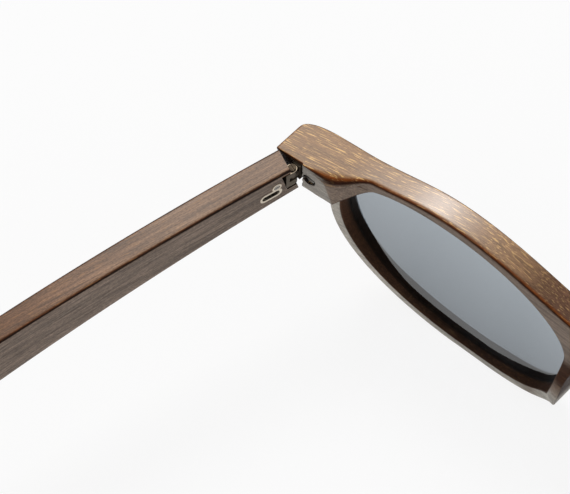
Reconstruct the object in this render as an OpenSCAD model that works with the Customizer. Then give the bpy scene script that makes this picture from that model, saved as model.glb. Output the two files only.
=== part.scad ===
// Wooden sunglasses with spring hinges, temples flexed outwards. Millimetres, +Z up.
// The front faces -Y, the temples run towards +Y and +X is the wearer's left.

/* [Front] */
// Width across the endpieces
front_w = 143; // [125:1:160]
// Radius of the wrap, seen from above
wrap_r = 430; // [300:10:600]
// Thickness of the rims from front to back
front_t = 5.3; // [4.8:0.1:6.5]
// Depth from the middle of the front to the endpieces' rear corners
front_depth = 15; // [13:0.5:18]
// Width of the rim round a lens
rim_w = 2.5; // [2.2:0.1:4]
// Height of an endpiece
endpiece_h = 7.6; // [7.2:0.1:9]
// Length of an endpiece's rear face
endpiece_l = 10.3; // [9.9:0.1:12]
// Length of the curve from an endpiece's rear face to the rim
step_l = 7.7; // [6:0.1:10]
// Length of an endpiece's flat outer side
side_l = 6.4; // [5:0.1:7]
// Length of the joint face at the end of an endpiece
mate_l = 6; // [5.8:0.1:6.3]
// Step of the joint face forward of the endpiece's rear face
joint_step = 0.3; // [0.25:0.05:0.5]
// Turn of the endpieces' rear faces, in degrees
rear_turn = 7.5; // [4:0.5:9]
// Lean of the joint between temple and endpiece, in degrees
joint_lean = 13; // [6:1:16]
// Run of the brow from its highest point out to the endpiece
brow_run = 22; // [18:1:26]
// Depth of the dip in the brow at the bridge
bridge_dip = 2.2; // [1:0.1:4]
// Height of the bridge
bridge_h = 6; // [5:0.5:9]
// Depth of the flats that the rims and temple tips stand on
foot = 0.1; // [0.05:0.05:0.2]

/* [Lenses] */
// Width of a lens opening
lens_w = 50.5; // [44:0.5:54]
// Height of a lens opening
lens_h = 35.8; // [32:0.2:42]
// Rise of the lens opening above the endpieces
lens_lift = 0.8; // [0:0.1:2]
// Gap between the lens openings
bridge_w = 19; // [17:0.5:23]
// Distance of a lens opening's highest point from its nose side
lens_peak = 27.5; // [24:0.5:31]
// Distance of a lens opening's lowest point from its nose side
lens_low = 21.5; // [19:0.5:27]
// Drop of the widest point at the temple side below the top of the opening
lens_out_drop = 13.8; // [11:0.2:17]
// Drop of the widest point at the nose side below the top of the opening
lens_in_drop = 14.8; // [12:0.2:18]
// Lens thickness
lens_t = 1.8; // [1.4:0.1:2.2]
// Setback of the lens from the rear of the rim
lens_set = 1.2; // [1:0.1:2]
// Depth of the groove that holds the lens
groove_d = 0.9; // [0.6:0.1:1.2]

/* [Nose] */
// Width of the nose gap at its upper part
nose_w = 15; // [13:0.5:16]
// Drop of the upper part of the nose gap below the endpieces' tops
nose_drop = 20; // [17:0.5:22]
// Projection of the carved nose bearings
pad_h = 3; // [2:0.1:4]

/* [Temples] */
// Length of a temple from the hinge pin
temple_len = 134; // [120:1:145]
// Thickness of a temple at the hinge
temple_t = 5.2; // [5:0.1:6]
// Thickness of a temple at the ear
ear_t = 4; // [3.4:0.1:4.6]
// Height of a temple at the hinge
temple_h = 7.9; // [7.6:0.1:9.5]
// Flare of the temple's lower edge, in degrees
temple_flare = 5.1; // [2:0.1:7]
// Radius of the temple's inward curve
temple_r = 720; // [600:10:900]
// Step of the temple's outer face in from the endpiece's side
temple_inset = 0.5; // [0.3:0.1:0.8]
// Outward flex of the temples in the stored pose, in degrees
flex = 14; // [8:0.5:15]
// Distance of the temple's end behind the pin, at the pin's line
temple_gap = 0.8; // [0.75:0.05:1.2]
// Turn of the temple's end face away from square, in degrees
end_skew = 5.5; // [3:0.5:8]

/* [Hinges] */
// Distance of the pin from the endpiece's outer side
pin_in = 4.7; // [4.5:0.1:5.3]
// Distance of the pin behind the endpiece's rear corner
pin_back = 0.35; // [0.3:0.05:0.6]
// Drop of the hinge's middle below the endpiece's top
hinge_drop = 3.4; // [3.3:0.1:3.8]
// Radius of the hinge pin
pin_r = 0.45; // [0.35:0.05:0.55]
// Radius of the ears
ear_r = 0.95; // [0.85:0.05:1]
// Radius of the knuckle
knuckle_r = 0.75; // [0.7:0.05:0.85]
// Height over both ears
fork_h = 4.2; // [4:0.1:4.4]
// Height of the knuckle between the ears
knuckle_h = 1; // [0.8:0.1:1.2]
// Travel of the slider in its housing
slide = 0.8; // [0.6:0.1:1]
// Radius of the slider's rod
rod_r = 0.5; // [0.4:0.05:0.55]
// Length of the rod behind the fork
rod_l = 10.9; // [9:0.1:12]
// Step of the rod outwards from the pin
rod_n = 0.45; // [0.4:0.05:0.6]
// Drop of the rod below the hinge's middle
rod_drop = 1.5; // [1.4:0.1:1.6]
// Outer radius of the spring housing
tube_r = 1.3; // [1.25:0.05:1.4]
// Wall of the spring housing
tube_wall = 0.35; // [0.3:0.05:0.4]
// Length of the housing's face plate
plate_l = 4.7; // [4.4:0.1:5.5]
// Height of the housing's face plate
plate_h = 2.3; // [2.2:0.1:2.5]
// Radius of the spring's wire
wire_r = 0.12; // [0.08:0.01:0.13]
// Curls in the spring
curls = 11; // [8:1:11]
// Thickness of the housing's face plate
plate_t = 0.8; // [0.6:0.1:1]
// Height of the window in the face plate
window_h = 1.3; // [1.1:0.1:1.4]
// Radius of the lug that takes the housing screw
lug_pad_r = 1; // [0.9:0.05:1.05]
// Radius of the housing screw's head
lug_r = 0.6; // [0.5:0.05:0.65]
// Radius of the housing screw's shank
lug_shank_r = 0.3; // [0.25:0.05:0.35]
// Length of the collar on the rod
collar_l = 0.9; // [0.6:0.1:1.2]
// Thickness of the front hinge plate
strap_t = 1; // [0.8:0.1:1.2]
// Height of the front hinge plate
strap_h = 2.6; // [2.2:0.1:3]
// Reach of the front hinge plate from the pin into the endpiece
strap_l = 4.5; // [4.3:0.1:5]
// Radius of the plate screw's shank
shank_r = 0.5; // [0.4:0.05:0.6]
// Length of the plate screw's shank
shank_l = 4.4; // [3.5:0.1:5]
// Radius of the plate screw's head
screw_r = 1; // [0.9:0.05:1.1]

/* [Clearances] */
// Radial clearance of the pin in the knuckle
pin_fit = 0.03; // [0.01:0.01:0.1]
// Clearance of a piece let into wood
let_in = 0.05; // [0.03:0.01:0.1]
// Clearance of moving hinge pieces
run_gap = 0.1; // [0.08:0.01:0.15]
// Clearance of moving hinge pieces from wood
wood_gap = 0.3; // [0.2:0.05:0.4]

/* [Hidden] */
$fn = 48;
wood = "SaddleBrown";
tint = "SlateGray";
metal = "Silver";
arc_n = 24;
quad_n = 14;

half_w = front_w / 2;
pin_x = half_w - pin_in;
pin_y = pin_back;
hinge_z = -hinge_drop;
rod_z = hinge_z - rod_drop;

// Extreme points of a lens opening, measured from the middle of the front and the endpieces' tops
lens_in_x = bridge_w / 2;
lens_out_x = lens_in_x + lens_w;
lens_peak_x = lens_in_x + lens_peak;
lens_low_x = lens_in_x + lens_low;
lens_top_z = lens_lift;
lens_bot_z = lens_lift - lens_h;
lens_out_z = lens_lift - lens_out_drop;
lens_in_z = lens_lift - lens_in_drop;
lens_round = 2;
lens_full = 2.5;
rim_full = 3;

brow_z = lens_top_z + rim_w;
rim_z = lens_bot_z - rim_w;
rest_z = rim_z + foot;
nose_z = -nose_drop;
arch_z = -bridge_dip - bridge_h;
edge_r = 0.5;

// Where the endpiece runs into the rim, seen from above
step_x = half_w - endpiece_l;
step_end_x = step_x - step_l;
corner_x = half_w - 7;
side_y = -side_l;
mate_x = half_w - mate_l;

pad_in_x = lens_in_x;
pad_start_x = lens_in_x - 1;
pad_out_x = lens_in_x + 5.5;
pad_top_z = nose_z + 7;
pad_bot_z = rest_z + 3;

lens_rear = front_t - lens_set;
lens_front = lens_rear - lens_t;

// Hinge pieces along the temple, measured from the pin
slot_s = ear_r + 1.5 * run_gap;
web_end = slot_s + 0.7;
notch_end = web_end + slide + 2 * run_gap;
rod_end = web_end + rod_l;
tube_end = rod_end + slide + 1;
bore_r = tube_r - tube_wall;
shoulder = notch_end + 0.6;
collar_s = rod_end - collar_l - 0.1;
spring_r = (rod_r + bore_r) / 2;
spring_start = shoulder + wire_r + 0.05;
spring_end = collar_s - wire_r - 0.05;
pitch = (spring_end - spring_start) / curls;
inner_n = pin_in - temple_inset - temple_t;
plate_s = notch_end + plate_l / 2;
lug_s = notch_end + lug_pad_r + 0.1;
lug_z = rod_z + 1.7;

// The front hinge plate inside the endpiece
strap_y = -2.6;
strap_in_x = pin_x - strap_l;
screw_x = pin_x - 2.9;
screw_z = hinge_z - 0.5;
bore_y = -2;

// The stored frame has its origin under the middle of the part's box
tip_s = temple_len + 1.9;
tip_n = outer_n(tip_s) - ear_t;
rear_y_max = pin_y + tip_s * cos(flex) - tip_n * sin(flex);
shift_y = (front_depth - rear_y_max) / 2;
shift_z = -rest_z;

echo(spring_gap = pitch - 2 * wire_r);

function mix(a, b, t) = a + (b - a) * t;
function smooth(t) = let (c = min(1, max(0, t))) c * c * (3 - 2 * c);
function bez(a, b, c, d, t) =
    pow(1 - t, 3) * a + 3 * t * pow(1 - t, 2) * b + 3 * t * t * (1 - t) * c + pow(t, 3) * d;
function cs(t, n) = pow(cos(t), 2 / n);
function sn(t, n) = pow(sin(t), 2 / n);

// Front and rear of the wrapped front, seen from above
function front_y(x) = -front_depth + wrap_r - sqrt(wrap_r * wrap_r - x * x);
function rim_y(x) = front_y(x) + front_t;
function end_y(x) = -(half_w - x) * tan(rear_turn);
function rear_y(x) = mix(end_y(x), rim_y(x), smooth((step_x - x) / (step_x - step_end_x)));

// Lens outline from four superellipse quarters, grown by g
function lens_outline(g) = concat(
    [for (i = [0:quad_n - 1]) let (t = 90 * i / quad_n)
        [lens_peak_x + (lens_out_x + g - lens_peak_x) * cs(t, lens_round),
         lens_out_z + (lens_top_z + g - lens_out_z) * sn(t, lens_round)]],
    [for (i = [0:quad_n - 1]) let (t = 90 * i / quad_n)
        [lens_peak_x - (lens_peak_x - lens_in_x + g) * sn(t, lens_round),
         lens_in_z + (lens_top_z + g - lens_in_z) * cs(t, lens_round)]],
    [for (i = [0:quad_n - 1]) let (t = 90 * i / quad_n)
        [lens_low_x - (lens_low_x - lens_in_x + g) * cs(t, lens_full),
         lens_in_z - (lens_in_z - lens_bot_z + g) * sn(t, lens_full)]],
    [for (i = [0:quad_n - 1]) let (t = 90 * i / quad_n)
        [lens_low_x + (lens_out_x + g - lens_low_x) * sn(t, lens_round),
         lens_out_z - (lens_out_z - lens_bot_z + g) * cs(t, lens_round)]]
);

// Brow line over the lens
function brow(x) = x < lens_peak_x
    ? mix(-bridge_dip, brow_z, pow(sin(90 * x / lens_peak_x), 2))
    : brow_z * pow(cos(90 * min(1, (x - lens_peak_x) / brow_run)), 2);

// Half of the front's outline, from the top of the bridge round to its underside
join_t = asin((lens_out_z + endpiece_h) / (lens_out_z - brow_z));
half_outline = concat(
    [for (i = [0:arc_n - 1]) let (x = lens_peak_x * i / arc_n) [x, brow(x)]],
    [for (i = [0:arc_n]) let (x = lens_peak_x + brow_run * i / arc_n) [x, brow(x)]],
    [for (t = [90:-15:0]) [half_w - edge_r + edge_r * cos(t), -edge_r + edge_r * sin(t)]],
    [for (t = [0:-15:-90]) [half_w - edge_r + edge_r * cos(t), edge_r - endpiece_h + edge_r * sin(t)]],
    [for (i = [0:4]) let (t = join_t * (1 - i / 5))
        [lens_peak_x + (lens_out_x + rim_w - lens_peak_x) * cos(t),
         lens_out_z + (brow_z - lens_out_z) * sin(t)]],
    [for (i = [0:quad_n + 3]) let (t = 90 * (1 - i / (quad_n + 4)))
        [lens_low_x + (lens_out_x + rim_w - lens_low_x) * sn(t, lens_round),
         lens_out_z - (lens_out_z - rim_z) * cs(t, lens_round)]],
    [for (i = [0:quad_n - 1]) let (t = 90 * i / quad_n)
        [lens_low_x - (lens_low_x - nose_w / 2) * sn(t, rim_full),
         nose_z - (nose_z - rim_z) * cs(t, rim_full)]],
    [for (i = [0:quad_n]) let (t = 90 * i / quad_n)
        [nose_w / 2 * cos(t), nose_z + (arch_z - nose_z) * sin(t)]]
);

// Half of the front's section, seen from above
half_plan = concat(
    [for (i = [0:arc_n]) let (x = corner_x * i / arc_n) [x, front_y(x)]],
    [for (i = [1:8]) let (t = i / 8)
        [pow(1 - t, 2) * corner_x + (1 - pow(1 - t, 2)) * half_w,
         pow(1 - t, 2) * front_y(corner_x) + 2 * t * (1 - t) * front_y(half_w) + t * t * side_y]],
    [[half_w, 0]],
    [for (i = [0:12]) let (x = mix(step_x, step_end_x, i / 12)) [x, rear_y(x)]],
    [for (i = [1:arc_n]) let (x = step_end_x * (1 - i / arc_n)) [x, rim_y(x)]]
);

// Temple seen from above, n outwards and s along the temple
function outer_n(s) = inner_n + temple_t - s * s / (2 * temple_r);
function inner_face(s) = outer_n(s) - mix(temple_t, ear_t, smooth(s / temple_len));

temple_plan = concat(
    [for (i = [0:30]) let (s = -3 + (temple_len + 10) * i / 30) [outer_n(s), s]],
    [for (i = [30:-1:0]) let (s = -3 + (temple_len + 10) * i / 30) [inner_face(s), s]]
);

// Temple seen from the side, s along the temple and z up
function low_z(s) = -temple_h - s * tan(temple_flare);
bend_s = temple_len - 62;
flare_s = temple_len - 68;
temple_side = concat(
    [[-4, low_z(-4)], [-4, 0]],
    [for (i = [0:16])
        bez([bend_s, 0], [bend_s + 26, 0], [temple_len - 16, -10], [temple_len, rim_z + 10.5], i / 16)],
    [for (i = [1:10])
        bez([temple_len, rim_z + 10.5], [temple_len + 3.6, rim_z + 6.3],
            [temple_len + 2, rim_z], [temple_len - 4, rim_z], i / 10)],
    [for (i = [1:20])
        bez([temple_len - 4, rim_z], [temple_len - 10, rim_z],
            [temple_len - 18, low_z(temple_len - 18)], [flare_s, low_z(flare_s)], i / 20)]
);

module place() {
    translate([0, shift_y, shift_z])
        children();
}

module along_y(y0, y1) {
    translate([0, y1, 0])
        rotate([90, 0, 0])
            linear_extrude(height = y1 - y0)
                children();
}

// From the temple's own frame, with the pin at its origin, to the front's frame
module on_temple() {
    translate([pin_x, pin_y, 0])
        rotate([0, 0, -flex])
            children();
}

// A round bar along the temple at height z
module rod(r, s0, s1, n, z) {
    translate([n, s0, z])
        rotate([-90, 0, 0])
            cylinder(r = r, h = s1 - s0);
}

// A round bar across the temple from n0 outwards
module across(r, n0, n1, s, z) {
    translate([n0, s, z])
        rotate([0, 90, 0])
            cylinder(r = r, h = n1 - n0);
}

// A pill across the temple, length l along it
module pill(l, h, n0, n1, s, z) {
    across(h / 2, n0, n1, s - (l - h) / 2, z);
    across(h / 2, n0, n1, s + (l - h) / 2, z);
    translate([n0, s - (l - h) / 2, z - h / 2])
        cube([n1 - n0, l - h, h]);
}

// A shell that follows the wrap, from y0 to y1 behind the front
module wrap_shell(y0, y1) {
    translate([0, wrap_r - front_depth, -60])
        difference() {
            translate([0, y0, 0])
                cylinder(r = wrap_r, h = 90, $fn = 180);
            translate([0, y1, -1])
                cylinder(r = wrap_r, h = 92, $fn = 180);
        }
}

module lens_solid(grow, gap) {
    intersection() {
        along_y(-front_depth - 1, 2)
            polygon(lens_outline(grow));
        wrap_shell(lens_front - gap, lens_rear + gap);
    }
}

module front_block() {
    intersection() {
        along_y(-front_depth - 5, 5)
            polygon(concat(half_outline, [for (i = [len(half_outline) - 2:-1:1])
                [-half_outline[i][0], half_outline[i][1]]]));
        translate([0, 0, rest_z])
            linear_extrude(height = brow_z - rest_z + 5)
                polygon(concat(half_plan, [for (i = [len(half_plan) - 2:-1:1])
                    [-half_plan[i][0], half_plan[i][1]]]));
    }
}

// The carved nose bearing, bounded by the outline and by its own profiles from above and from the side
module nose_bearing() {
    intersection() {
        along_y(-front_depth + 2, 5)
            polygon(concat([[lens_low_x, pad_top_z]], [for (i = [0:quad_n]) let (t = 90 * i / quad_n)
                [lens_low_x - (lens_low_x - nose_w / 2) * sn(t, rim_full),
                 nose_z - (nose_z - rim_z) * cs(t, rim_full)]],
                [[nose_w / 2 - 0.6, pad_top_z]]));
        translate([0, 0, rest_z])
            linear_extrude(height = pad_top_z - rest_z)
                polygon(concat([[pad_out_x + 1, rim_y(0) - 1], [2, rim_y(0) - 1]],
                    [for (i = [0:12]) let (x = 2 + (pad_out_x - 2) * i / 12)
                        [x, rim_y(x) + pad_h * (1 - smooth((x - pad_start_x) / (pad_out_x - pad_start_x)))]],
                    [[pad_out_x + 1, rim_y(pad_out_x + 1) - 0.5]]));
        translate([1, 0, 0])
            rotate([90, 0, 90])
                linear_extrude(height = pad_out_x)
                    polygon(concat([[-front_depth, pad_top_z], [-front_depth, pad_bot_z]],
                        [for (i = [0:16]) let (z = mix(pad_bot_z, pad_top_z, i / 16))
                            [rim_y(pad_in_x) - 0.3 + (pad_h + 0.3) * pow(sin(180 * i / 16), 2), z]]));
    }
}

// Cuts on one endpiece: the relief under it, the leaning joint and the bed of the hinge plate
module endpiece_cuts() {
    translate([0, 0, rest_z - 6])
        linear_extrude(height = -rest_z + 6 - endpiece_h)
            polygon(concat(
                [for (i = [0:10]) let (x = mix(step_end_x - 3, half_w + 3, i / 10)) [x, rim_y(x) + 0.05]],
                [[half_w + 3, 4], [step_end_x - 3, 4]]));
    translate([half_w, 0, 0])
        rotate([0, 0, rear_turn])
            translate([mate_x - half_w, 0, 0])
                rotate([90, 0, 90])
                    linear_extrude(height = 8)
                        polygon([[2 * tan(joint_lean) - joint_step, 2], [4, 2], [4, -12],
                            [-12 * tan(joint_lean) - joint_step, -12]]);
    translate([strap_in_x - let_in, strap_y - strap_t - let_in, hinge_z - strap_h / 2 - let_in])
        cube([pin_x + ear_r + wood_gap - strap_in_x, strap_t + 2 * let_in, strap_h + 2 * let_in]);
    translate([pin_x - ear_r - let_in, strap_y - strap_t / 2 - let_in, hinge_z - fork_h / 2 - let_in])
        cube([2 * ear_r + 2 * let_in, 5, fork_h + 2 * let_in]);
    translate([screw_x, 0, screw_z])
        rotate([90, 0, 0])
            cylinder(r = shank_r + 0.02, h = shank_l - bore_y + 0.2);
    translate([screw_x, 0, screw_z])
        rotate([90, 0, 0])
            cylinder(r = screw_r + 0.2, h = -bore_y);
}

module front_frame() {
    color(wood)
        place()
            difference() {
                union() {
                    front_block();
                    nose_bearing();
                    mirror([1, 0, 0])
                        nose_bearing();
                }
                for (m = [0, 1])
                    mirror([m, 0, 0]) {
                        along_y(-front_depth - 6, 8)
                            polygon(lens_outline(0));
                        lens_solid(groove_d + let_in, let_in);
                        endpiece_cuts();
                    }
            }
}

module hinge_plate_solid() {
    difference() {
        union() {
            translate([strap_in_x, strap_y - strap_t, hinge_z - strap_h / 2])
                cube([pin_x + ear_r - strap_in_x, strap_t, strap_h]);
            translate([pin_x - ear_r, strap_y - strap_t / 2, hinge_z - fork_h / 2])
                cube([2 * ear_r, pin_y - ear_r - run_gap - strap_y + strap_t / 2, fork_h]);
            translate([pin_x - knuckle_r, strap_y - strap_t / 2, hinge_z - knuckle_h / 2])
                cube([2 * knuckle_r, pin_y - strap_y + strap_t / 2, knuckle_h]);
            translate([pin_x, pin_y, hinge_z - knuckle_h / 2])
                cylinder(r = knuckle_r, h = knuckle_h);
        }
        translate([pin_x, pin_y, hinge_z - 2])
            cylinder(r = pin_r + pin_fit, h = 4);
        translate([screw_x, 0, screw_z])
            rotate([90, 0, 0])
                cylinder(r = shank_r + pin_fit, h = 6);
    }
}

module plate_screw_solid() {
    translate([screw_x, bore_y, screw_z])
        rotate([90, 0, 0])
            cylinder(r = shank_r, h = shank_l);
    difference() {
        translate([screw_x, bore_y, screw_z])
            rotate([-90, 0, 0])
                cylinder(r = screw_r, h = 0.6);
        translate([screw_x - 2, bore_y + 0.3, screw_z - 0.2])
            cube([4, 1, 0.4]);
    }
}

// In the temple's own frame from here on

module hinge_pin_solid() {
    translate([0, 0, hinge_z - fork_h / 2])
        cylinder(r = pin_r, h = fork_h);
    difference() {
        translate([0, 0, hinge_z + fork_h / 2])
            cylinder(r = 0.75, h = 0.35);
        translate([-1, -0.15, hinge_z + fork_h / 2 + 0.2])
            cube([2, 0.3, 1]);
    }
}

module slider_solid() {
    difference() {
        union() {
            translate([0, 0, hinge_z - fork_h / 2])
                cylinder(r = ear_r, h = fork_h);
            translate([-ear_r, 0, hinge_z - fork_h / 2])
                cube([2 * ear_r, web_end, fork_h]);
            rod(rod_r, web_end - 0.2, rod_end, rod_n, rod_z);
        }
        translate([-3, -3, hinge_z - knuckle_h / 2 - run_gap])
            cube([6, 3 + slot_s, knuckle_h + 2 * run_gap]);
        translate([0, 0, hinge_z - 3])
            cylinder(r = pin_r, h = 6);
    }
}

module collar_solid() {
    difference() {
        rod(bore_r - run_gap, collar_s, collar_s + collar_l, rod_n, rod_z);
        rod(rod_r, collar_s - 1, collar_s + collar_l + 1, rod_n, rod_z);
    }
}

module spring_solid() {
    rings = curls * 8;
    sides = 6;
    ring = function (k) let (a = 45 * k, y = spring_start + pitch * k / 8)
        [for (j = [0:sides - 1]) let (b = 360 * j / sides, r = spring_r + wire_r * cos(b))
            [rod_n + r * cos(a), y + wire_r * sin(b), rod_z + r * sin(a)]];
    polyhedron(
        points = [for (k = [0:rings]) each ring(k)],
        faces = concat(
            [[for (j = [0:sides - 1]) j]],
            [for (k = [0:rings - 1], j = [0:sides - 1]) let (a = k * sides, m = (j + 1) % sides)
                each [[a + j, a + sides + j, a + m], [a + m, a + sides + j, a + sides + m]]],
            [[for (j = [sides - 1:-1:0]) rings * sides + j]]));
}

module housing_solid(grow) {
    rod(tube_r + grow, notch_end - grow, tube_end + grow, rod_n, rod_z);
    pill(plate_l + 2 * grow, plate_h + 2 * grow, inner_n - 0.1 - 2 * grow, inner_n + plate_t + grow,
        plate_s, rod_z);
    across(lug_pad_r + grow, inner_n - 0.1 - 2 * grow, inner_n + plate_t + grow, lug_s, lug_z);
}

module hinge_housing_solid() {
    difference() {
        housing_solid(0);
        rod(bore_r, shoulder, tube_end - 0.4, rod_n, rod_z);
        rod(rod_r + pin_fit, notch_end - 1, shoulder + 1, rod_n, rod_z);
        pill(plate_l - 1, window_h, inner_n - 1, rod_n, plate_s + 0.05, rod_z);
        across(lug_r + 0.03, inner_n - 1, inner_n + 0.35, lug_s, lug_z);
        across(lug_shank_r + 0.03, inner_n - 1, inner_n + 3, lug_s, lug_z);
    }
}

module housing_screw_solid() {
    across(lug_shank_r, inner_n + 0.3, inner_n + 3.1, lug_s, lug_z);
    difference() {
        across(lug_r, inner_n - 0.1, inner_n + 0.35, lug_s, lug_z);
        translate([inner_n - 1, lug_s - 1, lug_z - 0.13])
            cube([1.1, 2, 0.26]);
    }
}

module temple_solid() {
    difference() {
        intersection() {
            translate([0, 0, rest_z])
                linear_extrude(height = 5 - rest_z)
                    polygon(temple_plan);
            translate([-40, 0, 0])
                rotate([90, 0, 90])
                    linear_extrude(height = 60)
                        polygon(temple_side);
        }
        translate([0, temple_gap, 0])
            rotate([-joint_lean, 0, -end_skew])
                translate([-12, -20, -20])
                    cube([24, 20, 25]);
        translate([inner_n - 2, -4, hinge_z - fork_h / 2 - wood_gap])
            cube([ear_r + wood_gap - inner_n + 2, notch_end + 4, fork_h + 2 * wood_gap + 0.35]);
        housing_solid(let_in);
        across(lug_shank_r + 0.02, inner_n, inner_n + 3.3, lug_s, lug_z);
    }
}

module left_lens() { color(tint) place() lens_solid(groove_d, 0); }
module right_lens() { color(tint) place() mirror([1, 0, 0]) lens_solid(groove_d, 0); }

module left_temple() { color(wood) place() on_temple() temple_solid(); }
module right_temple() { color(wood) place() mirror([1, 0, 0]) on_temple() temple_solid(); }

module left_hinge_plate() { color(metal) place() hinge_plate_solid(); }
module right_hinge_plate() { color(metal) place() mirror([1, 0, 0]) hinge_plate_solid(); }

module left_plate_screw() { color(metal) place() plate_screw_solid(); }
module right_plate_screw() { color(metal) place() mirror([1, 0, 0]) plate_screw_solid(); }

module left_hinge_pin() { color(metal) place() on_temple() hinge_pin_solid(); }
module right_hinge_pin() { color(metal) place() mirror([1, 0, 0]) on_temple() hinge_pin_solid(); }

module left_hinge_slider() { color(metal) place() on_temple() slider_solid(); }
module right_hinge_slider() { color(metal) place() mirror([1, 0, 0]) on_temple() slider_solid(); }

module left_slider_collar() { color(metal) place() on_temple() collar_solid(); }
module right_slider_collar() { color(metal) place() mirror([1, 0, 0]) on_temple() collar_solid(); }

module left_hinge_spring() { color(metal) place() on_temple() spring_solid(); }
module right_hinge_spring() { color(metal) place() mirror([1, 0, 0]) on_temple() spring_solid(); }

module left_hinge_housing() { color(metal) place() on_temple() hinge_housing_solid(); }
module right_hinge_housing() { color(metal) place() mirror([1, 0, 0]) on_temple() hinge_housing_solid(); }

module left_housing_screw() { color(metal) place() on_temple() housing_screw_solid(); }
module right_housing_screw() { color(metal) place() mirror([1, 0, 0]) on_temple() housing_screw_solid(); }

front_frame();
left_lens();
right_lens();
left_temple();
right_temple();
left_hinge_plate();
right_hinge_plate();
left_plate_screw();
right_plate_screw();
left_hinge_pin();
right_hinge_pin();
left_hinge_slider();
right_hinge_slider();
left_slider_collar();
right_slider_collar();
left_hinge_spring();
right_hinge_spring();
left_hinge_housing();
right_hinge_housing();
left_housing_screw();
right_housing_screw();
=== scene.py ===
import logging
import math
from dataclasses import dataclass
from enum import Enum
from typing import Any

import bpy
import numpy as np
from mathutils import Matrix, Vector


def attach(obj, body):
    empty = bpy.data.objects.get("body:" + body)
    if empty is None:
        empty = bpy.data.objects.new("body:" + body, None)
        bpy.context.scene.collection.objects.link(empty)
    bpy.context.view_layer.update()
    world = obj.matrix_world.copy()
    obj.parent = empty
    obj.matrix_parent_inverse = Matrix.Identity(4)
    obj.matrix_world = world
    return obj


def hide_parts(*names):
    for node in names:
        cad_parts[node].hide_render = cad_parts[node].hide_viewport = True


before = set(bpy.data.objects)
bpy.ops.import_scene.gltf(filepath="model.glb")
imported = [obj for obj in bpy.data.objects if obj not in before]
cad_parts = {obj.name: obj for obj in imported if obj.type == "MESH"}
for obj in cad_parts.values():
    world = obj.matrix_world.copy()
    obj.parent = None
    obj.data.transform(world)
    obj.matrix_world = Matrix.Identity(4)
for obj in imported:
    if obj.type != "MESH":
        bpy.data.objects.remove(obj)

LOG = logging.getLogger("sunglasses")
MM = 0.001
Array = np.ndarray
Colour = tuple[float, float, float, float]


class Side(Enum):
    """The wearer's left or right; the value is the sign of X."""

    LEFT = 1
    RIGHT = -1

    @property
    def word(self) -> str:
        """Prefix of the side's node and body names."""
        return self.name.lower()


class Zone(Enum):
    """Mesh attributes that the materials read."""

    TOP = "zone_top"
    SHINE = "zone_shine"
    # TONE holds base colours with painted highlights, reflections and shade in them.
    TONE = "zone_tone"
    GRAIN = "grain_mm"


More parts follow.
